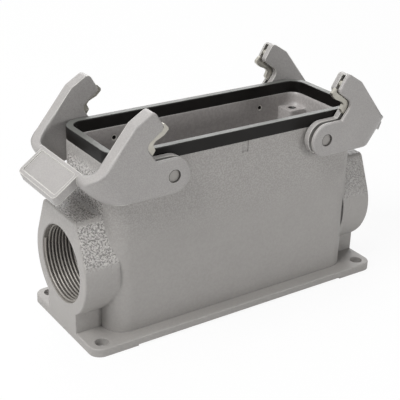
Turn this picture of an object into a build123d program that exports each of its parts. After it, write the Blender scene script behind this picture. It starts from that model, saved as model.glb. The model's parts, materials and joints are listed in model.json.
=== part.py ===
from build123d import *
from math import cos, radians, sin
import os

# Base flange with its four fixing holes
flange_length = 143.5
flange_width = 55.2
flange_thickness = 3.5
flange_corner_radius = 5.0
flange_edge_round = 0.5
foot_length = 19.5
foot_height = 0.6
fixing_inset_x = 5.75
fixing_inset_y = 5.1
fixing_hole_radius = 2.75

# Hollow body, open at the top
rim_height = 79.5
entry_reach = 11.5
flange_ledge = 5.95
body_corner_radius = 8.5
wall = 3.6
floor_top = 5.0
mark_width = 3.0
mark_height = 4.6
mark_depth = 0.4

# Threaded cable entries, one at each end
entry_side_step = 0.45
entry_wall = 5.2
entry_foot_gap = 4.5
entry_chamfer = 0.4
entry_crown = 23.0
entry_crown_inset = 8.15
entry_crown_round = 2.5
entry_edge_round = 0.6
entry_root_round = 1.2
neck_inset = 9.2

# Corner bosses that the contact insert screws down on
insert_inset_x = 8.25
insert_inset_y = 8.15
insert_boss_reach = 4.3
insert_boss_round = 2.0
insert_boss_drop = 10.9
insert_boss_height = 18.0
insert_hole_radius = 1.65
insert_hole_depth = 12.0

# Rubber rim seal, seated over a thin tongue on the body's rim
seal_height = 5.15
seal_step = 0.4
seal_edge_round = 0.4
tongue_width = 1.2
tongue_height = 3.0
tongue_gap = 0.1

# Pivot pins, pressed into the side walls
pivot_inset = 23.15
pivot_drop = 9.9
pin_radius = 2.4
pin_recess = 0.7
pin_seat_depth = 2.0
pin_tail_radius = 1.35
pin_press_gap = 0.02
pin_dimple_radius = 0.85
pin_dimple_depth = 1.0
pin_tail_recess = 0.2

# Locking levers. Their profile is drawn as they stand when locked, with
# a pointing away from the middle of the housing and b pointing up, both
# from the pivot. Opened, they lean outwards by lever_tilt.
lever_tilt = 36.0
lever_side_gap = 0.55
inner_skin = 2.5
arm_slot = 1.95
outer_skin = 1.35
lobe_radius = 7.2
pin_bore_gap = 0.05
bar_end_gap = 1.2
bar_thickness = 3.65
bar_top = 22.3
bar_depth = 3.8
bar_round = 3.2
bar_window_inset = 3.2
bar_window_round = 5.0
lever_corner_radius = 9.5
lever_heel_radius = 12.0
tip_a = -8.8
tip_drop = 0.7
tip_round = 2.0
crest_a = 0.3
crest_b = 28.0
crest_round = 1.5
shoulder_a = 21.0
shoulder_round = 8.0
beak_a = -8.1
beak_round = 1.8
hook_depth = 9.4
notch_wall = 2.0
notch_round = 2.8
web = 2.2
tip_web = 1.2
slot_depth = 14.0
slot_mouth = 0.5
lever_edge_round = 0.65

# Thumb tab with its plain sunk panel
tab_reach = 38.1
tab_flare = 0.9
tab_inset = 6.8
tab_thickness = 3.6
tab_corner_radius = 2.0
panel_border = 1.6
panel_inner_border = 1.6
panel_depth = 0.5
panel_round = 1.0

# Steel latch springs, one in each lever arm: a band under the hook, with a
# nose in front of its beak, and a thin tongue looping in the slot
spring_gap = 0.3
spring_side_gap = 0.15
spring_belly = 2.5
spring_belly_a = -6.3
spring_throat = 1.7
spring_throat_a = -2.6
spring_bend = 2.7
spring_bend_drop = 2.1
spring_leg = 5.7
spring_heel = 2.2
spring_heel_rise = 0.8
spring_lip = 0.8
spring_lip_rise = 1.3
spring_nose = 1.25
spring_nose_drop = 1.3
spring_chin = 0.7
spring_chin_drop = 2.1
spring_round = 0.5
tongue_strip = 0.7
tongue_inset = 1.8
tongue_loop_radius = 1.55
tongue_rise = 4.3
tongue_lead = 4.9
tongue_run = 3.0

# Sizes and places that follow from the ones above
flange_end = flange_length / 2
fixing_pitch_x = flange_length - 2 * fixing_inset_x
fixing_pitch_y = flange_width - 2 * fixing_inset_y
body_length = flange_length - 2 * entry_reach
body_width = flange_width - 2 * flange_ledge
body_end = body_length / 2
body_side = body_width / 2
cavity_end = body_end - wall
cavity_side = body_side - wall
cavity_radius = body_corner_radius - wall
seal_bottom = rim_height - seal_height
entry_boss_radius = body_side - entry_side_step
entry_radius = entry_boss_radius - entry_wall
entry_height = flange_thickness + entry_foot_gap + entry_boss_radius
entry_crown_height = entry_height + entry_crown
entry_crown_half_width = body_side - entry_crown_inset
neck_half_width = entry_boss_radius - neck_inset
insert_pitch_x = body_length - 2 * insert_inset_x
insert_pitch_y = body_width - 2 * insert_inset_y
insert_boss_top = rim_height - insert_boss_drop
pivot_x = body_end - pivot_inset
pivot_height = rim_height - pivot_drop
arm_inner_side = body_side + lever_side_gap
slot_inner_side = arm_inner_side + inner_skin
slot_outer_side = slot_inner_side + arm_slot
arm_outer_side = slot_outer_side + outer_skin
pin_outer_end = arm_outer_side - pin_recess
bar_inner = body_end - pivot_x + bar_end_gap
bar_outer = bar_inner + bar_thickness
bar_window_half_width = arm_inner_side - bar_window_inset
tab_half_width = arm_inner_side - tab_inset
tip_top = crest_b - tip_drop
notch_ceiling = crest_b - hook_depth
tilt = radians(lever_tilt)

os.makedirs("parts", exist_ok=True)


def tangent_point(px, py, cx, cy, radius):
    """Point where the line from (px, py) touches a circle on its +x side."""
    dx, dy = px - cx, py - cy
    span = dx * dx + dy * dy
    along = radius * radius / span
    across = radius * (span - radius * radius) ** 0.5 / span
    return (cx + along * dx + across * dy, cy + along * dy - across * dx)


def corner(sketch, point):
    """The sketch's corner nearest to a point."""
    return sketch.vertices().sort_by_distance(point)[0]


# Housing: one aluminium casting
with BuildPart() as housing:
    # Flange plate
    with BuildSketch():
        RectangleRounded(flange_length, flange_width, flange_corner_radius)
    extrude(amount=flange_thickness)
    flange_rim = housing.faces().sort_by(Axis.Z)[-1].edges()
    fillet(flange_rim, flange_edge_round)
    # Body up to the seat of the seal
    with BuildSketch():
        RectangleRounded(body_length, body_width, body_corner_radius)
    extrude(amount=seal_bottom)
    # Entry bosses: a round boss whose sides run up to a flat top, on a neck
    touch = tangent_point(entry_crown_half_width, entry_crown_height, 0, entry_height, entry_boss_radius)
    for side in (-1, 1):
        with BuildSketch(Plane.YZ.offset(side * flange_end)) as boss_outline:
            with BuildLine():
                Polyline(
                    (entry_crown_half_width, entry_crown_height),
                    (-entry_crown_half_width, entry_crown_height),
                    (-touch[0], touch[1]),
                    (touch[0], touch[1]),
                    close=True,
                )
            make_face()
            fillet(boss_outline.vertices().group_by(Axis.Y)[-1], entry_crown_round)
            with Locations((0, entry_height)):
                Circle(entry_boss_radius)
            with Locations((0, entry_height / 2)):
                Rectangle(2 * neck_half_width, entry_height)
        extrude(amount=-side * (flange_end - cavity_end))
        root = housing.edges().sort_by_distance((side * body_end, 0, entry_crown_height))[0]
        fillet(root, entry_root_round)
    # Cavity
    with BuildSketch(Plane.XY.offset(floor_top)):
        RectangleRounded(2 * cavity_end, 2 * cavity_side, cavity_radius)
    extrude(amount=rim_height, mode=Mode.SUBTRACT)
    # Insert bosses in the cavity's corners
    boss_low_x = insert_pitch_x / 2 - insert_boss_reach
    boss_low_y = insert_pitch_y / 2 - insert_boss_reach
    boss_high_x = cavity_end + wall / 2
    boss_high_y = cavity_side + wall / 2
    with BuildSketch(Plane.XY.offset(insert_boss_top)) as boss_corners:
        with GridLocations(boss_low_x + boss_high_x, boss_low_y + boss_high_y, 2, 2):
            Rectangle(boss_high_x - boss_low_x, boss_high_y - boss_low_y)
        for sx in (-1, 1):
            for sy in (-1, 1):
                fillet(corner(boss_corners, (sx * boss_low_x, sy * boss_low_y)), insert_boss_round)
        RectangleRounded(2 * boss_high_x, 2 * boss_high_y, cavity_radius + wall / 2, mode=Mode.INTERSECT)
    extrude(amount=-insert_boss_height)
    with Locations(Plane.XY.offset(insert_boss_top)):
        with GridLocations(insert_pitch_x, insert_pitch_y, 2, 2):
            Hole(insert_hole_radius, depth=insert_hole_depth)
    # Tongue that carries the seal
    with BuildSketch(Plane.XY.offset(seal_bottom)):
        RectangleRounded(
            body_length - wall + tongue_width,
            body_width - wall + tongue_width,
            body_corner_radius - (wall - tongue_width) / 2,
        )
        RectangleRounded(
            body_length - wall - tongue_width,
            body_width - wall - tongue_width,
            body_corner_radius - (wall + tongue_width) / 2,
            mode=Mode.SUBTRACT,
        )
    extrude(amount=tongue_height)
    # Cable entries through the end walls, with a small lead-in
    for side in (-1, 1):
        with BuildSketch(Plane.YZ.offset(side * flange_end)):
            with Locations((0, entry_height)):
                Circle(entry_radius)
        extrude(amount=-side * (flange_end - cavity_end), mode=Mode.SUBTRACT)
        circles = housing.edges().filter_by(GeomType.CIRCLE)
        rings = circles.filter_by(lambda e: abs(e.radius - entry_radius) < 0.01)
        chamfer(rings.sort_by_distance((side * flange_end, 0, entry_height))[0], entry_chamfer)
    # Fixing holes and the relieved middle of the underside
    with Locations(Plane.XY.offset(flange_thickness)):
        with GridLocations(fixing_pitch_x, fixing_pitch_y, 2, 2):
            Hole(fixing_hole_radius, depth=flange_thickness)
    with BuildSketch():
        Rectangle(flange_length - 2 * foot_length, flange_width)
    extrude(amount=foot_height, mode=Mode.SUBTRACT)
    # Casting mark, a shallow bare recess under the seal on the near side
    with BuildSketch(Plane.XZ.offset(body_side)):
        with Locations((0, seal_bottom - mark_height / 2)):
            Rectangle(mark_width, mark_height)
    extrude(amount=-mark_depth, mode=Mode.SUBTRACT)
    # Pin holes through the side walls: a press seat, then the tail's hole
    for side in (-1, 1):
        with BuildSketch(Plane.XZ.offset(-side * body_side)):
            with Locations((-pivot_x, pivot_height), (pivot_x, pivot_height)):
                Circle(pin_radius + pin_press_gap)
        extrude(amount=side * pin_seat_depth, mode=Mode.SUBTRACT)
        with BuildSketch(Plane.XZ.offset(-side * body_side)):
            with Locations((-pivot_x, pivot_height), (pivot_x, pivot_height)):
                Circle(pin_tail_radius + pin_press_gap)
        extrude(amount=side * wall, mode=Mode.SUBTRACT)
    # Rounded outline of each entry boss's face
    for side in (-1, 1):
        face_edges = housing.edges().filter_by(lambda e: abs(e.center().X - side * flange_end) < 0.01)
        above_neck = face_edges.filter_by(lambda e: e.bounding_box().max.Z > entry_height)
        fillet(above_neck.filter_by(lambda e: not e.is_closed), entry_edge_round)
housing.part.label = "housing"
export_step(housing.part, "parts/housing.step")

# Rim seal: a rubber frame with a groove underneath for the tongue
with BuildPart() as rim_seal:
    with BuildSketch(Plane.XY.offset(seal_bottom)):
        RectangleRounded(body_length, body_width, body_corner_radius)
        RectangleRounded(
            2 * (cavity_end + seal_step),
            2 * (cavity_side + seal_step),
            cavity_radius + seal_step,
            mode=Mode.SUBTRACT,
        )
    extrude(amount=seal_height)
    fillet(rim_seal.faces().sort_by(Axis.Z)[-1].edges(), seal_edge_round)
    groove_width = tongue_width + 2 * tongue_gap
    with BuildSketch(Plane.XY.offset(seal_bottom)):
        RectangleRounded(
            body_length - wall + groove_width,
            body_width - wall + groove_width,
            body_corner_radius - (wall - groove_width) / 2,
        )
        RectangleRounded(
            body_length - wall - groove_width,
            body_width - wall - groove_width,
            body_corner_radius - (wall + groove_width) / 2,
            mode=Mode.SUBTRACT,
        )
    extrude(amount=tongue_height + tongue_gap, mode=Mode.SUBTRACT)
rim_seal.part.label = "rim_seal"
export_step(rim_seal.part, "parts/rim_seal.step")


def lever_side_plane(end):
    """Side view of a lever at rest: x is a, y is b."""
    return Plane(
        origin=(end * pivot_x, 0, pivot_height),
        x_dir=(end * cos(tilt), 0, -sin(tilt)),
        z_dir=(0, -end, 0),
    )


def lever_top_plane(end):
    """Top view of a lever at rest: x is a, z is b."""
    return Plane(
        origin=(end * pivot_x, 0, pivot_height),
        x_dir=(end * cos(tilt), 0, -sin(tilt)),
        z_dir=(end * sin(tilt), 0, cos(tilt)),
    )


def lever_end_plane(end):
    """View of a lever along a: x runs across the housing, y is b."""
    top = lever_top_plane(end)
    return Plane(origin=top.origin, x_dir=top.y_dir, z_dir=top.x_dir)


def beside_lobe(along, across):
    """Point along the lobe's lean and across it, from the pivot."""
    return (along * cos(tilt) - across * sin(tilt), along * sin(tilt) + across * cos(tilt))


def build_lever(end):
    """One moulded lever: two slotted hook arms, a cross bar and a thumb tab."""
    side_plane = lever_side_plane(end)
    top_plane = lever_top_plane(end)
    end_plane = lever_end_plane(end)
    lean = sin(tilt) / cos(tilt)
    lobe_top = beside_lobe(0, lobe_radius)
    lobe_base = beside_lobe(0, -lobe_radius)
    inner_corner_b = lobe_top[1] + (notch_wall - lobe_top[0]) * lean
    heel_b = lobe_base[1] + (bar_outer - lobe_base[0]) * lean
    back_slope = (bar_top - crest_b) / (shoulder_a - crest_a)
    tab_edge = (tab_thickness**2 + tab_flare**2) ** 0.5
    slot_bottom = beside_lobe(-2 * lobe_radius, web - lobe_radius)
    slot_heel = beside_lobe(0, web - lobe_radius)
    with BuildPart() as lever:
        # Side profile of the arms, through the full width
        with BuildSketch(side_plane) as profile:
            with BuildLine():
                Polyline(
                    lobe_top,
                    (notch_wall, inner_corner_b),
                    (notch_wall, notch_ceiling),
                    (beak_a, notch_ceiling),
                    (tip_a, tip_top),
                    (crest_a, crest_b),
                    (shoulder_a, bar_top),
                    (bar_outer, bar_top),
                    (bar_outer, heel_b),
                    lobe_base,
                )
                ThreePointArc(lobe_base, beside_lobe(-lobe_radius, 0), lobe_top)
            make_face()
            fillet(corner(profile, (notch_wall, notch_ceiling)), notch_round)
            fillet(corner(profile, (beak_a, notch_ceiling)), beak_round)
            fillet(corner(profile, (tip_a, tip_top)), tip_round)
            fillet(corner(profile, (crest_a, crest_b)), crest_round)
            fillet(corner(profile, (shoulder_a, bar_top)), shoulder_round)
            fillet(corner(profile, (bar_outer, bar_top)), bar_round)
            fillet(corner(profile, (bar_outer, heel_b)), lever_heel_radius)
        extrude(amount=arm_outer_side, both=True)
        # Rounded outline of the outer faces
        for side in (0, -1):
            outer = lever.faces().filter_by(Plane.XZ).sort_by(Axis.Y)[side]
            fillet(outer.edges(), lever_edge_round)
        # Plan of the arms and the bar between them
        plan_reach = bar_outer + 2 * lobe_radius
        with BuildSketch(top_plane.offset(-plan_reach)) as plan:
            with Locations((bar_outer - plan_reach / 2, 0)):
                Rectangle(plan_reach, 2 * arm_outer_side)
            fillet(plan.vertices().group_by(Axis.X)[-1], lever_corner_radius)
            with Locations((bar_inner - plan_reach / 2, 0)):
                Rectangle(plan_reach, 2 * arm_inner_side, mode=Mode.SUBTRACT)
            for side in (-1, 1):
                fillet(corner(plan, (bar_inner, side * arm_inner_side)), lever_corner_radius - bar_thickness)
        extrude(amount=2 * plan_reach, mode=Mode.INTERSECT)
        # Window under the bar
        with BuildSketch(end_plane.offset(bar_inner - lever_corner_radius)) as window:
            window_top = bar_top - bar_depth
            with Locations((0, window_top - bar_window_half_width)):
                Rectangle(2 * bar_window_half_width, 2 * bar_window_half_width)
            fillet(window.vertices().group_by(Axis.Y)[-1], bar_window_round)
        extrude(amount=2 * lever_corner_radius, mode=Mode.SUBTRACT)
        # Thumb tab
        with BuildSketch(side_plane):
            with BuildLine():
                Polyline(
                    (bar_inner, bar_top),
                    (tab_reach, bar_top),
                    (tab_reach + tab_flare, bar_top - tab_thickness),
                    (bar_inner, bar_top - tab_thickness),
                    close=True,
                )
            make_face()
        extrude(amount=tab_half_width, both=True)
        fillet(lever.edges().filter_by(lambda e: abs(e.length - tab_edge) < 0.01), tab_corner_radius)
        # Sunk panel on the tab
        with BuildSketch(top_plane.offset(bar_top)):
            panel_start = bar_inner + panel_inner_border
            panel_end = tab_reach - panel_border
            with Locations(((panel_start + panel_end) / 2, 0)):
                RectangleRounded(panel_end - panel_start, 2 * (tab_half_width - panel_border), panel_round)
        extrude(amount=-panel_depth, mode=Mode.SUBTRACT)
        # Spring slots, open towards the hook and through the top of its tip
        for side in (-1, 1):
            with BuildSketch(side_plane.offset(side * slot_inner_side)):
                with BuildLine():
                    Polyline(
                        slot_bottom,
                        (slot_depth, slot_heel[1] + (slot_depth - slot_heel[0]) * lean),
                        (slot_depth, crest_b - web + back_slope * (slot_depth - crest_a)),
                        (crest_a, crest_b - tip_web),
                        (tip_a + slot_mouth, tip_top - tip_web),
                        (tip_a + slot_mouth, crest_b + web),
                        (2 * tip_a, crest_b + web),
                        close=True,
                    )
                make_face()
            extrude(amount=side * arm_slot, mode=Mode.SUBTRACT)
        # Pin bores
        for side in (-1, 1):
            with BuildSketch(side_plane.offset(side * arm_outer_side)):
                Circle(pin_radius + pin_bore_gap)
            extrude(amount=-side * (arm_outer_side - arm_inner_side), mode=Mode.SUBTRACT)
    return lever.part


def build_spring(end, side):
    """A latch spring: a bent band lining the hook's mouth, with a thin tongue."""
    facing = -end * side
    strip_side = slot_outer_side - spring_side_gap
    strip_width = arm_slot - 2 * spring_side_gap
    top = notch_ceiling - spring_gap
    back = notch_wall - spring_gap
    front = beak_a - spring_gap
    foot = notch_ceiling - spring_leg
    lip = (front - spring_lip, top + spring_lip_rise)
    nose = (front - spring_nose, top - spring_nose_drop)
    chin = (front - spring_chin, top - spring_chin_drop)
    belly = (spring_belly_a, top - spring_belly)
    throat = (spring_throat_a, top - spring_throat)
    bend = (back - spring_bend, top - spring_bend_drop)
    heel = (back - spring_heel, foot + spring_heel_rise)
    with BuildPart() as spring:
        with BuildSketch(lever_side_plane(end).offset(facing * strip_side)) as band:
            with BuildLine():
                Polyline(
                    (back, foot),
                    (back, top),
                    (front, top),
                    (front, top + spring_lip_rise),
                    lip,
                    nose,
                    chin,
                    belly,
                    throat,
                    bend,
                    heel,
                    close=True,
                )
            make_face()
            fillet(corner(band, (back, top)), notch_round - spring_gap)
            for point in ((front, top), lip, nose, chin, belly, throat, bend, heel):
                fillet(corner(band, point), spring_round)
        extrude(amount=-facing * strip_width)
        # Tongue in the arm's slot
        with BuildSketch(lever_side_plane(end).offset(facing * strip_side)):
            with BuildLine():
                loop = CenterArc((beak_a + tongue_inset, top + tongue_rise), tongue_loop_radius, 225, -195)
                Line(loop @ 0 - tongue_lead * (loop % 0), loop @ 0)
                Line(loop @ 1, loop @ 1 + tongue_run * (loop % 1))
            trace(line_width=tongue_strip)
        extrude(amount=-facing * strip_width)
    return spring.part


def build_pin(end, side):
    """A pivot pin: a shank set back in its bore, and a tail with a dimpled end."""
    with BuildPart() as pin:
        centre = (end * pivot_x, pivot_height)
        for start, stop, radius in (
            (pin_outer_end, body_side - pin_seat_depth, pin_radius),
            (pin_outer_end, cavity_side + pin_tail_recess, pin_tail_radius),
        ):
            with BuildSketch(Plane.XZ.offset(-side * start)):
                with Locations(centre):
                    Circle(radius)
            extrude(amount=side * (start - stop))
        with BuildSketch(Plane.XZ.offset(-side * (cavity_side + pin_tail_recess))):
            with Locations(centre):
                Circle(pin_dimple_radius)
        extrude(amount=-side * pin_dimple_depth, mode=Mode.SUBTRACT)
    return pin.part


ends = ((-1, "left"), (1, "right"))
sides = ((-1, "near"), (1, "far"))
for end, end_name in ends:
    lever = build_lever(end)
    lever.label = end_name + "_lever"
    export_step(lever, "parts/" + lever.label + ".step")
    for side, side_name in sides:
        spring = build_spring(end, side)
        spring.label = side_name + "_" + end_name + "_spring"
        export_step(spring, "parts/" + spring.label + ".step")
        pin = build_pin(end, side)
        pin.label = side_name + "_" + end_name + "_pin"
        export_step(pin, "parts/" + pin.label + ".step")
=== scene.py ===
# %% [markdown]
# # A surface-mounting connector housing
#
# A grey die-cast box stands on its flange. Two levers with hooks hang on
# its sides, a black seal lies on its rim, and a threaded cable entry opens
# at each end. The solids come from the CAD frame; this lesson gives them
# their finishes, cuts the threads and lights the whole like a product shot.

# %% Load the frame
import json
import math

import bpy
from mathutils import Matrix, Vector


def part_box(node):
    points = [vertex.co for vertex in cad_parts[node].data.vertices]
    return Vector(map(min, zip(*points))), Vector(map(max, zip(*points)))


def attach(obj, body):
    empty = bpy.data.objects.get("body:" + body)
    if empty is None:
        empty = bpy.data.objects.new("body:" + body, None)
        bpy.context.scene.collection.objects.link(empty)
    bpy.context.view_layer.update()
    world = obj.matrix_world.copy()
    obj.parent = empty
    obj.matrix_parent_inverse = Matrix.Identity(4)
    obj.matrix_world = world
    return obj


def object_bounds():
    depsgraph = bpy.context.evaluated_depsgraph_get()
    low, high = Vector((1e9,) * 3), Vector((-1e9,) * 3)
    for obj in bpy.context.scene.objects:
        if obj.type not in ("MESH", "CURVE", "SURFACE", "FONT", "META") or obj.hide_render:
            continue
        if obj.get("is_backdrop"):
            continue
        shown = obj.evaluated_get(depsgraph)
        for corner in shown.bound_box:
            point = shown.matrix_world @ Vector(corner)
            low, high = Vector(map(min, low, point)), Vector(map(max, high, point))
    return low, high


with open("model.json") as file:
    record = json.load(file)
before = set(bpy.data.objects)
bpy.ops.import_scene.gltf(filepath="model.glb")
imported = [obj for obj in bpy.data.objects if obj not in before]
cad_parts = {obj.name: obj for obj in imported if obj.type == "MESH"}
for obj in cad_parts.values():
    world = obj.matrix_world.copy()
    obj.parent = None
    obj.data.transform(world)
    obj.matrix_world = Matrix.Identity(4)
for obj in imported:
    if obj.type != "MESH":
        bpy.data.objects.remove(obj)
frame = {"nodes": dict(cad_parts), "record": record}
cad_low, cad_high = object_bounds()
MM = 0.001
print("nodes:", sorted(frame["nodes"]))
print("CAD box in mm:", [round((high - low) / MM, 1) for low, high in zip(cad_low, cad_high)])

# %% [markdown]
# ## Sizes the looks need
#
# Patterns and pieces follow the real part, so their places are read from the
# frame: the housing's box, the seal's box, and the record's mounts and
# hinges. They could be typed in, but then they would not follow the part.
# Only the thickness of the wall and of the flange is stated here.

# %% Sizes of the frame
flange_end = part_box("housing")[1][0]
seal_low, seal_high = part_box("rim_seal")
body_end, body_side = seal_high[0], seal_high[1]
seal_bottom = seal_low[2]
mounts = {mount["name"]: mount for mount in frame["record"]["mounts"]}
entry_radius = mounts["left_entry"]["dims"]["r_mm"] * MM
entry_height = mounts["left_entry"]["pos_m"][2]
insert_screws = mounts["insert_screws"]["dims"]
insert_x = insert_screws["spacing_x_mm"] * MM / 2
insert_y = insert_screws["spacing_y_mm"] * MM / 2
insert_hole_radius = insert_screws["hole_r_mm"] * MM
hinge_place = frame["record"]["behaviour"]["joints"][1]["pos_m"]
pivot_x, pivot_height = hinge_place[0], hinge_place[2]
wall = 3.6 * MM
flange_thickness = 3.5 * MM
cavity_end = body_end - wall
cavity_side = body_side - wall
print("body ends at", round(body_end / MM, 2), "mm and the flange at", round(flange_end / MM, 2), "mm")
print("cavity in mm:", round(2 * cavity_end / MM, 1), "by", round(2 * cavity_side / MM, 1))

# %% [markdown]
# ## The camera
#
# The photograph was taken from above the near left corner. The angles, the
# distance and the small roll were solved from edges of known shape: the
# flange, the fixing holes and the rim. A camera looks along its own -Z, so
# its matrix holds the right, up and backward directions side by side.

# %% Camera
view_azimuth = math.radians(-34.562)
view_elevation = math.radians(24.721)
view_roll = math.radians(1.781)
view_distance = 414.245 * MM
view_target = Vector((-6.148, 0.0, 41.515)) * MM

backward = Vector((
    math.sin(view_azimuth) * math.cos(view_elevation),
    -math.cos(view_azimuth) * math.cos(view_elevation),
    math.sin(view_elevation),
))
level_right = Vector((math.cos(view_azimuth), math.sin(view_azimuth), 0.0))
level_up = backward.cross(level_right)
right = level_right * math.cos(view_roll) + level_up * math.sin(view_roll)
up = backward.cross(right)
turn_to_view = Matrix((right, up, backward)).transposed().to_4x4()
camera_data = bpy.data.cameras.new("camera")
camera_data.sensor_width = 36.0
camera_data.lens = 88.34
camera_data.clip_start = 0.02
camera = bpy.data.objects.new("camera", camera_data)
bpy.context.scene.collection.objects.link(camera)
camera.matrix_world = Matrix.Translation(view_target + backward * view_distance) @ turn_to_view
bpy.context.scene.camera = camera
bpy.context.scene.view_settings.view_transform = "Standard"
print("camera at", [round(value, 3) for value in camera.matrix_world.translation])

# %% [markdown]
# ## Helpers for nodes and colours
#
# A finish is a chain of nodes. The first function adds one node, sets its
# properties and fills its inputs: an input that is given a socket is linked,
# any other value is written in. Colours are read off as sRGB hex values, and
# shaders count light, so another function turns them to linear.

# %% Node and colour helpers
def add_node(tree, kind, inputs=None, **settings):
    """A new node with its properties set and its inputs linked or filled."""
    node = tree.nodes.new(kind)
    for name, value in settings.items():
        setattr(node, name, value)
    for name, value in (inputs or {}).items():
        if isinstance(value, bpy.types.NodeSocket):
            tree.links.new(value, node.inputs[name])
        else:
            node.inputs[name].default_value = value
    return node


def maths(tree, operation, first, second=0.0):
    """The outcome of one sum, product or comparison in a tree."""
    return add_node(tree, "ShaderNodeMath", {0: first, 1: second}, operation=operation).outputs[0]


def linear(hex_colour):
    """An sRGB hex colour as linear red, green, blue and alpha."""
    channels = [int(hex_colour[i:i + 2], 16) / 255 for i in (1, 3, 5)]
    return [c / 12.92 if c <= 0.04045 else ((c + 0.055) / 1.055) ** 2.4 for c in channels] + [1.0]


print("a middle grey of #808080 gives", round(linear("#808080")[0], 3), "of the light")

# %% [markdown]
# ## Floor, backdrop and light
#
# The photograph is a cut-out on white with even, soft light from above and
# from the left. The world is white to the camera and to reflections, and
# gives a lower even light to everything else. The floor is pale and keeps
# the shadow; most of it glows white to the camera, as a lit sweep of paper
# does. Lamps are large, so no shadow has a hard edge.

# %% World
even_light = 0.14
world = bpy.data.worlds.new("studio")
bpy.context.scene.world = world
world.use_nodes = True
sky = world.node_tree
sky.nodes.clear()
rays = add_node(sky, "ShaderNodeLightPath").outputs
direct = maths(sky, "MAXIMUM", rays["Is Camera Ray"], rays["Is Glossy Ray"])
seen = maths(sky, "MAXIMUM", direct, rays["Is Transmission Ray"])
level = add_node(sky, "ShaderNodeMapRange", {"Value": seen, "To Min": even_light, "To Max": 1.0})
glow = {"Color": linear("#ffffff"), "Strength": level.outputs[0]}
backdrop = add_node(sky, "ShaderNodeBackground", glow)
add_node(sky, "ShaderNodeOutputWorld", {"Surface": backdrop.outputs[0]})
print("even light at", even_light, "of white")

# %% Floor
floor_reach = 3.0
white_share = 0.9
round_the_floor = ((-1, -1), (1, -1), (1, 1), (-1, 1))
corners = [(side_x * floor_reach, side_y * floor_reach, 0) for side_x, side_y in round_the_floor]
floor_mesh = bpy.data.meshes.new("floor")
floor_mesh.from_pydata(corners, [], [(0, 1, 2, 3)])
floor = bpy.data.objects.new("floor", floor_mesh)
bpy.context.scene.collection.objects.link(floor)
floor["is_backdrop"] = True
paper = bpy.data.materials.new("white_paper_sweep")
paper.use_nodes = True
sheet = paper.node_tree
sheet.nodes.clear()
rays = add_node(sheet, "ShaderNodeLightPath").outputs
matt = add_node(sheet, "ShaderNodeBsdfDiffuse", {"Color": linear("#ebebeb")}).outputs[0]
bright = add_node(sheet, "ShaderNodeEmission", {"Color": linear("#ffffff"), "Strength": 1.0}).outputs[0]
share = maths(sheet, "MULTIPLY", rays["Is Camera Ray"], white_share)
mixed = add_node(sheet, "ShaderNodeMixShader", {0: share, 1: matt, 2: bright}).outputs[0]
add_node(sheet, "ShaderNodeOutputMaterial", {"Surface": mixed})
floor_mesh.materials.append(paper)
print("floor is", 2 * floor_reach, "m wide")

# %% Lamps
def soft_lamp(name, place, width, height, watts):
    """A rectangular lamp at a place in metres that faces the housing's middle."""
    data = bpy.data.lights.new(name, "AREA")
    data.shape = "RECTANGLE"
    data.size = width
    data.size_y = height
    data.energy = watts
    lamp = bpy.data.objects.new(name, data)
    bpy.context.scene.collection.objects.link(lamp)
    away = Vector(place) - view_target
    lamp.matrix_world = Matrix.Translation(place) @ away.to_track_quat("Z", "Y").to_matrix().to_4x4()
    print(name, "gives about", round(watts / (math.pi ** 2 * away.length ** 2), 2), "of plain level")


soft_lamp("overhead_softbox", (-0.1, 0.25, 1.1), 1.0, 0.8, 4.6)
soft_lamp("left_softbox", (-0.78, -0.12, 0.92), 0.7, 0.7, 13.0)
soft_lamp("front_right_softbox", (0.47, -1.17, 0.34), 0.25, 0.25, 3.9)
soft_lamp("back_softbox", (0.55, 0.95, 0.55), 1.1, 0.5, 5.0)

# %% [markdown]
# ## A finish under construction
#
# Every finish starts from the piece's own coordinates, so a pattern stays
# fixed to the piece when a lever turns. A picture could be wrapped round
# each piece instead, but procedural nodes need no unwrapping and stay sharp
# near by. The class below opens a material, holds those coordinates, and
# gives short names to the few nodes that each finish is built from. Its
# last call feeds the chain into one surface shader.

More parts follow.
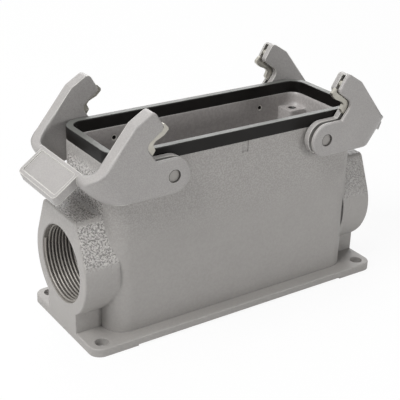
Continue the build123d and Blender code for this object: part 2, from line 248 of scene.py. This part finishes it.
# %% Finish class
class Finish:
    """A material under construction, with short calls for its usual nodes."""

    def __init__(self, name):
        self.material = bpy.data.materials.new(name)
        self.material.use_nodes = True
        self.tree = self.material.node_tree
        self.tree.nodes.clear()
        self.place = self.add("ShaderNodeTexCoord").outputs["Object"]
        self.x, self.y, self.z = self.add("ShaderNodeSeparateXYZ", {0: self.place}).outputs

    def add(self, kind, inputs=None, **settings):
        return add_node(self.tree, kind, inputs, **settings)

    def maths(self, operation, first, second=0.0):
        return maths(self.tree, operation, first, second)

    def both(self, first, second):
        """One where two masks are both one."""
        return self.maths("MULTIPLY", first, second)

    def either(self, first, second):
        """One where at least one of two masks is one."""
        return self.maths("MAXIMUM", first, second)

    def ramp(self, value, start, stop, low=0.0, high=1.0, shape="SMOOTHSTEP"):
        """A value that goes from low to high as another goes from start to stop."""
        ends = {"Value": value, "From Min": start, "From Max": stop, "To Min": low, "To Max": high}
        return self.add("ShaderNodeMapRange", ends, interpolation_type=shape).outputs[0]

    def noise(self, size_in_mm, detail, **inputs):
        """Random values in cells of about this size, from zero to one."""
        given = {"Vector": self.place, "Scale": 1.0 / (size_in_mm * MM), "Detail": detail, **inputs}
        return self.add("ShaderNodeTexNoise", given).outputs[0]

    def stretched(self, scale):
        """The piece's coordinates, scaled along each axis."""
        return self.add("ShaderNodeMapping", {"Vector": self.place, "Scale": scale}).outputs[0]

    def blend(self, share, first, second):
        inputs = {0: share, 6: first, 7: second}
        return self.add("ShaderNodeMix", inputs, data_type="RGBA").outputs[2]

    def multiply(self, colour, factor, share=1.0):
        inputs = {0: share, 6: colour, 7: factor}
        return self.add("ShaderNodeMix", inputs, data_type="RGBA", blend_type="MULTIPLY").outputs[2]

    def bump(self, height, depth_in_mm, strength, **inputs):
        given = {"Strength": strength, "Distance": depth_in_mm * MM, "Height": height, **inputs}
        return self.add("ShaderNodeBump", given).outputs[0]

    def close(self, colour, rough, bumped, **inputs):
        given = {"Base Color": colour, "Roughness": rough, "Normal": bumped, **inputs}
        surface = self.add("ShaderNodeBsdfPrincipled", given).outputs[0]
        self.add("ShaderNodeOutputMaterial", {"Surface": surface})
        print(self.material.name, "has", len(self.tree.nodes), "nodes")


print("calls of a finish:", [name for name in vars(Finish) if not name.startswith("_")])

# %% [markdown]
# ## Powder coat on cast aluminium
#
# The housing is die-cast aluminium with a baked powder coat. On the big
# faces the powder flows out and leaves a fine orange peel, which is stronger
# high on the walls. On the sloping faces and the flat crown of the entry
# bosses, and on the end walls above them, the casting itself is pebbled, and
# the glossy coat glints on each pebble; painted highlights on the pebbles'
# tops and painted shade in their hollows add to it. Inside, the coat is
# smooth and catches more light, and a paler colour there is a painted sheen.
# In the bores the coat is cut away. All this could be painted by hand; here
# the masks come from where a point lies on the housing and from which way it
# faces, so they follow the casting exactly.

# %% Where the casting is pebbled
def upward(finish):
    """How much a face looks up: one on a level top, zero on a wall."""
    normal = finish.add("ShaderNodeNewGeometry").outputs["True Normal"]
    return finish.add("ShaderNodeSeparateXYZ", {0: normal}).outputs[2]


boss_starts_in, boss_blur = 4 * MM, 1 * MM
face_rim_start, face_rim_stop = 0.7 * MM, 0.2 * MM
smooth_band, pebbles_below = 2.5 * MM, 6.5 * MM
touch = 0.05 * MM
coat = Finish("grey_powder_coat_on_cast_aluminium")
out_x = coat.maths("ABSOLUTE", coat.x)
out_y = coat.maths("ABSOLUTE", coat.y)
height = coat.z
# The bosses' slopes look up by a third to a half, and their crown by all.
looks_up = upward(coat)
slope_or_crown = coat.either(coat.ramp(looks_up, 0.55, 0.4), coat.ramp(looks_up, 0.9, 0.97))
slope_or_crown = coat.both(slope_or_crown, coat.ramp(looks_up, 0.22, 0.33))
boss_start = body_end - boss_starts_in
past_start = coat.ramp(out_x, boss_start - boss_blur, boss_start + boss_blur)
before_face = coat.ramp(out_x, flange_end - face_rim_stop, flange_end - face_rim_start)
above_entry = coat.maths("GREATER_THAN", height, entry_height)
on_boss = coat.both(past_start, coat.both(before_face, above_entry))
from_wall = coat.maths("GREATER_THAN", out_x, body_end - touch)
to_wall = coat.maths("LESS_THAN", out_x, body_end + touch)
under_seal = coat.ramp(height, seal_bottom - smooth_band, seal_bottom - pebbles_below)
on_end_wall = coat.both(coat.both(from_wall, to_wall), coat.both(under_seal, above_entry))
pebbled = coat.either(coat.both(on_boss, slope_or_crown), on_end_wall)
print("pebbles from", round(entry_height / MM, 1), "mm up")

# %% Inside, in the bores and at the body's corners
def within(finish, radius, first, second):
    """One where two offsets from an axis lie inside a radius."""
    squares = finish.maths("ADD", finish.maths("POWER", first, 2.0), finish.maths("POWER", second, 2.0))
    return finish.maths("LESS_THAN", finish.maths("SQRT", squares), radius)


skin = 0.1 * MM
root_from, root_full, root_past = 12 * MM, 8 * MM, 4 * MM
root_low, root_high = 2 * MM, 8 * MM
inside_x = coat.maths("LESS_THAN", out_x, cavity_end + skin)
inside_y = coat.maths("LESS_THAN", out_y, cavity_side + skin)
above_plate = coat.maths("GREATER_THAN", height, flange_thickness)
inside = coat.both(above_plate, coat.both(inside_x, inside_y))
outside = coat.maths("SUBTRACT", 1.0, inside)
off_entry = coat.maths("SUBTRACT", height, entry_height)
in_entry = within(coat, entry_radius + 2 * skin, off_entry, out_y)
in_bore = coat.both(in_entry, coat.maths("GREATER_THAN", out_x, cavity_end + 2 * skin))
off_screw_x = coat.maths("SUBTRACT", out_x, insert_x)
off_screw_y = coat.maths("SUBTRACT", out_y, insert_y)
in_screw_hole = within(coat, insert_hole_radius + skin, off_screw_x, off_screw_y)
to_corner = coat.ramp(out_x, body_end - root_from, body_end - root_full)
from_corner = coat.ramp(out_x, body_end + root_past, body_end)
above_flange = coat.ramp(height, flange_thickness + root_low, flange_thickness + root_high)
blended_root = coat.both(coat.both(to_corner, from_corner), above_flange)
print("bores of radius", round(entry_radius / MM, 1), "mm and", insert_hole_radius / MM, "mm")

# %% Relief of the coat
def soft_edge(finish, radius):
    """The normal as if each edge were rounded by a radius."""
    return finish.add("ShaderNodeBevel", {"Radius": radius}, samples=8).outputs[0]


edge_rounding, root_rounding = 0.45 * MM, 3.0 * MM
wall_low, wall_high = 30 * MM, 60 * MM
pebble_share = 0.95
# Pebbles a little over 1 mm apart, worm-like where they run together.
pebbles = coat.noise(0.62, 1.0, Distortion=0.6)
pebble_height = coat.maths("MULTIPLY", coat.both(pebbles, pebbled), pebble_share)
# Orange peel, faint low on the wall and deeper above, with finer dust.
peel = coat.noise(1.1, 3.0, Roughness=0.62)
peel_depth = coat.ramp(height, wall_low, wall_high, 0.28, 0.7)
peel_height = coat.both(coat.both(peel, outside), peel_depth)
relief = coat.maths("ADD", peel_height, pebble_height)
edge_radius = coat.ramp(blended_root, 0.0, 1.0, edge_rounding, root_rounding)
coat_normal = coat.bump(relief, 0.3, 1.0, Normal=soft_edge(coat, edge_radius))
print("edges rounded by", edge_rounding / MM, "mm and the entries' roots by", root_rounding / MM, "mm")

# %% Colour and gloss of the coat
def open_to_air(finish, reach):
    """Low in the piece's own crevices and one on its open faces."""
    node = finish.add("ShaderNodeAmbientOcclusion", {"Distance": reach}, samples=8, only_local=True)
    return node.outputs["AO"]


crevice_shade_reach = 1.5 * MM
inside_gloss, pebble_gloss = 0.22, 0.24
base = coat.blend(coat.noise(9.0, 3.0), linear("#979491"), linear("#9d9a97"))
# Specks: a faint random tone low on the wall; higher up they are painted glints and painted shade.
faint_speck = coat.ramp(peel, 0.3, 0.7, 0.95, 1.04)
painted_glint_speck = coat.ramp(pebbles, 0.4, 0.64, 0.89, 1.13)
up_the_wall = coat.ramp(height, wall_low, wall_high)
speck = coat.add("ShaderNodeMix", {0: up_the_wall, 2: faint_speck, 3: painted_glint_speck}).outputs[0]
speckled = coat.multiply(base, speck)
# Painted highlights on the pebbles' tops and painted shade in their hollows, weaker towards the right end.
pebble_paint_strength = coat.ramp(coat.x, 0.0, body_end, 1.0, 0.4)
pebble_painted_light_shade = coat.ramp(pebbles, 0.38, 0.6, 0.54, 1.42)
pebbles_painted = coat.multiply(speckled, pebble_painted_light_shade, coat.both(pebbled, pebble_paint_strength))
# Painted shade in the coat's crevices, darker the more closed in a point is.
crevices_painted_shade = coat.multiply(pebbles_painted, coat.ramp(open_to_air(coat, crevice_shade_reach), 0.3, 0.75, 0.6, 1.0))
# Inside, a paler colour as painted sheen; each insert screw hole painted dark as its shade; bare metal in
# the bores.
inside_painted_sheen = coat.blend(inside, crevices_painted_shade, linear("#a6a2a0"))
holes_painted_shade = coat.blend(in_screw_hole, inside_painted_sheen, linear("#2b2826"))
colour = coat.blend(in_bore, holes_painted_shade, linear("#807c77"))
rough = coat.ramp(peel, 0.3, 0.7, 0.42, 0.56)
rough = coat.maths("SUBTRACT", rough, coat.maths("MULTIPLY", inside, inside_gloss))
rough = coat.maths("SUBTRACT", rough, coat.maths("MULTIPLY", pebbled, pebble_gloss))
coat.close(colour, rough, coat_normal, IOR=1.5)

# %% [markdown]
# ## The tapped thread's own metal
#
# A tap cuts through the coat, so the ridges are bare aluminium, dulled a
# little by coat dust. The cutting edges leave fine rings round the bore.
# Noise squeezed along the bore gives such rings: the eye sees a satin sheen,
# a light line on each crest and dark valleys between.

# %% Tapped aluminium
tapped = Finish("tapped_aluminium_thread")
tooling = tapped.noise(1.0, 2.0, Vector=tapped.stretched((6.0, 0.5, 0.5)))
colour = tapped.blend(tooling, linear("#87837e"), linear("#9d9993"))
rough = tapped.ramp(tooling, 0.3, 0.7, 0.5, 0.62)
tapped.close(colour, rough, tapped.bump(tooling, 0.02, 0.4), Metallic=0.7)

# %% [markdown]
# ## Moulded plastic levers
#
# The levers are glass-filled nylon, injection moulded in a tool with a fine
# spark-eroded grain. The eye reads it as an even satin grey, a little warmer
# than the coat. The edges are painted light as a highlight, the slots are
# painted dark as shade, and a dark ring of painted shadow surrounds each pin.
# Where an arm bends into the bar the mould was rounded far more. The solid
# keeps its simple bend, and a wide bevel in the shading alone makes the light
# flow round it. An edge is painted light wherever the softened normal turns
# away from the true one.

# %% Edges of the lever plastic
bend_from, bend_full = 56 * MM, 66 * MM
tab_side, arm_side = 16 * MM, 18 * MM
lever_rounding, bend_rounding = 0.6 * MM, 2.6 * MM
nylon = Finish("grey_glass_filled_nylon")
by_the_bar = nylon.ramp(nylon.maths("ABSOLUTE", nylon.x), bend_from, bend_full)
beside_tab = nylon.ramp(nylon.maths("ABSOLUTE", nylon.y), tab_side, arm_side)
at_bend = nylon.both(by_the_bar, beside_tab)
rounded = soft_edge(nylon, nylon.ramp(at_bend, 0.0, 1.0, lever_rounding, bend_rounding))
flat = nylon.add("ShaderNodeNewGeometry").outputs["Normal"]
compare = nylon.add("ShaderNodeVectorMath", {0: rounded, 1: flat}, operation="DOT_PRODUCT")
turned_away = nylon.ramp(compare.outputs["Value"], 0.99, 0.9)
on_edge = nylon.both(turned_away, nylon.maths("SUBTRACT", 1.0, at_bend))
print("edges softened over", lever_rounding / MM, "mm and the bend over", bend_rounding / MM, "mm")

# %% Lever plastic
def near_pivot(finish, radius):
    """One inside a radius round either lever's pivot axis, which runs along y."""
    off_x = finish.maths("SUBTRACT", finish.maths("ABSOLUTE", finish.x), pivot_x)
    off_z = finish.maths("SUBTRACT", finish.z, pivot_height)
    return within(finish, radius, off_x, off_z)


pin_shadow_radius = 2.66 * MM
slot_shade_reach = 2.5 * MM
edge_highlight_share = 0.85
grain = nylon.noise(0.45, 2.0)
flow = nylon.noise(12.0, 4.0, Distortion=0.8)
base = nylon.blend(flow, linear("#989593"), linear("#a09d9b"))
grainy = nylon.multiply(base, nylon.ramp(grain, 0.3, 0.7, 0.9, 1.09))
# Painted highlight along the lever's edges.
edges_painted_light = nylon.blend(nylon.maths("MULTIPLY", on_edge, edge_highlight_share), grainy, linear("#e0dfd8"))
# Painted shade in the lever's slots and other crevices.
slots_painted_shade = nylon.multiply(edges_painted_light, nylon.ramp(open_to_air(nylon, slot_shade_reach), 0.3, 0.65, 0.4, 1.0))
# Painted shadow in a dark ring round each pin.
pin_ring_painted_shadow = nylon.blend(near_pivot(nylon, pin_shadow_radius), slots_painted_shade, linear("#3b3835"))
rough = nylon.ramp(grain, 0.3, 0.7, 0.36, 0.48)
nylon.close(pin_ring_painted_shadow, rough, nylon.bump(grain, 0.05, 0.7, Normal=rounded), IOR=1.53)

# %% [markdown]
# ## Rubber seal
#
# The rim seal is moulded nitrile rubber. Its sides are nearly black and
# drink the light. Its top mirrors the bright backdrop at a low angle, which
# turns that narrow face grey; this reflection is painted into the colour.
# One material can do both, with the painted reflection only where the face
# looks up.

# %% Seal rubber
rubber = Finish("black_nitrile_rubber")
bloom = rubber.noise(6.0, 4.0)
moulded_skin = rubber.noise(0.5, 2.0)
base = rubber.blend(bloom, linear("#080605"), linear("#110f0d"))
# The top is painted paler as the backdrop's reflection.
top_painted_reflection = rubber.blend(rubber.ramp(upward(rubber), 0.85, 0.97), base, linear("#61625f"))
rough = rubber.ramp(bloom, 0.3, 0.7, 0.34, 0.44, shape="LINEAR")
rubber.close(top_painted_reflection, rough, rubber.bump(moulded_skin, 0.02, 0.4), IOR=1.3)

# %% [markdown]
# ## Spring steel and pin steel
#
# The latch springs are bent from bright stainless strip. Rolling leaves fine
# lines along the strip, which spread its highlights. The pins are turned
# from steel and tumbled, so they are duller and have no direction. Their
# inner ends show a bright ring round a dark dimple; both are too small to
# need a shape, so they are painted in the colour round the pivot axis: a
# painted highlight on the ring and painted shade in the dimple.

# %% Spring steel
strip = Finish("rolled_stainless_strip")
lines = strip.noise(0.18, 2.0, Vector=strip.stretched((0.05, 1.0, 0.05)))
colour = strip.blend(lines, linear("#a5a299"), linear("#b7b4ab"))
rough = strip.ramp(lines, 0.3, 0.7, 0.26, 0.38, shape="LINEAR")
strip.close(colour, rough, strip.bump(lines, 0.004, 0.15), Metallic=1.0)

# %% Pin steel
dimple_radius = 0.87 * MM
inner_end_reach = 2 * MM
turned = Finish("tumbled_turned_steel")
dull = turned.noise(0.6, 3.0)
base = turned.blend(dull, linear("#8b8885"), linear("#9e9b97"))
# Painted highlight on the inner end's ring and painted shade in its dimple.
inner_end_painted_light_and_shade = turned.blend(near_pivot(turned, dimple_radius), linear("#dedbd5"), linear("#1d1a17"))
across = turned.maths("ABSOLUTE", turned.y)
at_inner_end = turned.maths("LESS_THAN", across, cavity_side + inner_end_reach)
colour = turned.blend(at_inner_end, base, inner_end_painted_light_and_shade)
rough = turned.ramp(dull, 0.3, 0.7, 0.45, 0.6)
turned.close(colour, rough, turned.bump(dull, 0.015, 0.4), Metallic=0.6)

# %% [markdown]
# ## Put the finishes on the frame
#
# Each CAD node names its slot in the record, so the finish follows from that
# slot and no node has to be listed twice.

# %% Finishes on the nodes
finishes = {
    "powder_coat": coat,
    "seal_rubber": rubber,
    "lever_plastic": nylon,
    "spring_steel": strip,
    "pin_steel": turned,
}
for part in frame["record"]["subparts"]:
    node = frame["nodes"][part["node"]]
    node.data.materials.clear()
    node.data.materials.append(finishes[part["material_slot"]].material)
    print(part["node"], "gets", node.data.materials[0].name)

# %% [markdown]
# ## The threads of the cable entries
#
# Each entry has an M32 x 1.5 thread, cut after the casting was made. It
# could be built from stacked rings, but a real thread is one ridge that
# follows a rule, a helix, so Geometry Nodes can make it: a spiral curve
# sweeps the ridge's cross-section. The section is the standard 60 degree
# form: seven eighths of the pitch wide at the wall and a quarter of it at
# the minor diameter. The radius of the curve fades the ridge out at both
# ends, as a tap leaves it.

# %% Thread tree
ridge_depth = 0.5413
wall_width, crest_width = 7 / 8, 1 / 4
run_out = 0.05


def thread_tree(material):
    """Geometry Nodes that sweep one internal thread's ridge along +Z."""
    tree = bpy.data.node_groups.new("internal_thread", "GeometryNodeTree")
    tree.interface.new_socket("Geometry", in_out="OUTPUT", socket_type="NodeSocketGeometry")
    for name in ("Major radius", "Pitch", "Length"):
        tree.interface.new_socket(name, in_out="INPUT", socket_type="NodeSocketFloat")
    given = add_node(tree, "NodeGroupInput").outputs
    radius, pitch, length = given["Major radius"], given["Pitch"], given["Length"]
    helix = add_node(tree, "GeometryNodeCurveSpiral", {
        "Resolution": 96,
        "Rotations": maths(tree, "DIVIDE", length, pitch),
        "Start Radius": radius,
        "End Radius": radius,
        "Height": length,
    })
    upright = add_node(tree, "GeometryNodeSetCurveNormal", {"Curve": helix.outputs[0]}, mode="Z_UP")
    along = add_node(tree, "GeometryNodeSplineParameter").outputs["Factor"]
    rise = add_node(tree, "ShaderNodeMapRange", {"Value": along, "From Min": 0.0, "From Max": run_out})
    fall = add_node(tree, "ShaderNodeMapRange", {"Value": along, "From Min": 1.0, "From Max": 1.0 - run_out})
    fade = maths(tree, "MINIMUM", rise.outputs[0], fall.outputs[0])
    faded = add_node(tree, "GeometryNodeSetCurveRadius", {"Curve": upright.outputs[0], "Radius": fade})
    depth = maths(tree, "MULTIPLY", pitch, ridge_depth)
    section = add_node(tree, "GeometryNodeCurvePrimitiveQuadrilateral", {
        "Bottom Width": maths(tree, "MULTIPLY", pitch, wall_width),
        "Top Width": maths(tree, "MULTIPLY", pitch, crest_width),
        "Height": depth,
        "Offset": 0.0,
    }, mode="TRAPEZOID")
    half_depth = maths(tree, "MULTIPLY", depth, 0.5)
    on_curve = add_node(tree, "ShaderNodeCombineXYZ", {"Y": half_depth}).outputs[0]
    seated = add_node(tree, "GeometryNodeTransform", {
        "Geometry": section.outputs[0],
        "Translation": on_curve,
    })
    facing_in = add_node(tree, "GeometryNodeTransform", {
        "Geometry": seated.outputs[0],
        "Rotation": (0.0, 0.0, math.radians(-90)),
    })
    ridge = add_node(tree, "GeometryNodeCurveToMesh", {
        "Curve": faded.outputs[0],
        "Profile Curve": facing_in.outputs[0],
        "Fill Caps": True,
    })
    real = add_node(tree, "GeometryNodeRealizeInstances", {"Geometry": ridge.outputs[0]}).outputs[0]
    dressed = add_node(tree, "GeometryNodeSetMaterial", {"Geometry": real, "Material": material})
    add_node(tree, "NodeGroupOutput", {"Geometry": dressed.outputs[0]})
    return tree


cut_thread = thread_tree(tapped.material)
print("thread tree has", len(cut_thread.nodes), "nodes")

# %% Cut both threads
thread_pitch = 1.5 * MM
for side, name in ((-1, "left"), (1, "right")):
    host = bpy.data.objects.new("thread_host", bpy.data.meshes.new("thread_host"))
    bpy.context.scene.collection.objects.link(host)
    modifier = host.modifiers.new("thread", "NODES")
    modifier.node_group = cut_thread
    length = mounts[name + "_entry"]["dims"]["length_mm"] * MM - thread_pitch
    sizes = {"Major radius": entry_radius, "Pitch": thread_pitch, "Length": length}
    for item in cut_thread.interface.items_tree:
        if item.in_out == "INPUT":
            modifier[item.identifier] = sizes[item.name]
    ready = host.evaluated_get(bpy.context.evaluated_depsgraph_get())
    mesh = bpy.data.meshes.new_from_object(ready)
    bpy.data.objects.remove(host)
    start = Vector((side * (cavity_end + thread_pitch / 2), 0, entry_height))
    mesh.transform(Matrix.Translation(start) @ Matrix.Rotation(side * math.radians(90), 4, "Y"))
    thread = bpy.data.objects.new(name + "_entry_thread", mesh)
    bpy.context.scene.collection.objects.link(thread)
    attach(thread, "body")
    radii = [math.hypot(v.co.y, v.co.z - entry_height) / MM for v in mesh.vertices]
    print(thread.name, "has", len(mesh.polygons), "faces")
    print("its radius goes from", round(min(radii), 2), "to", round(max(radii), 2), "mm")

# %% [markdown]
# ## Keep the sizes and finish
#
# Both boxes, the CAD part's and the dressed part's, are kept side by side.
# The dressed part may not outgrow the CAD part.

# %% Sizes and finish
low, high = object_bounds()
sizes = {"cad": [list(cad_low), list(cad_high)], "visual": [list(low), list(high)]}
print("visual box in mm:", [round((b - a) / MM, 1) for a, b in zip(low, high)])
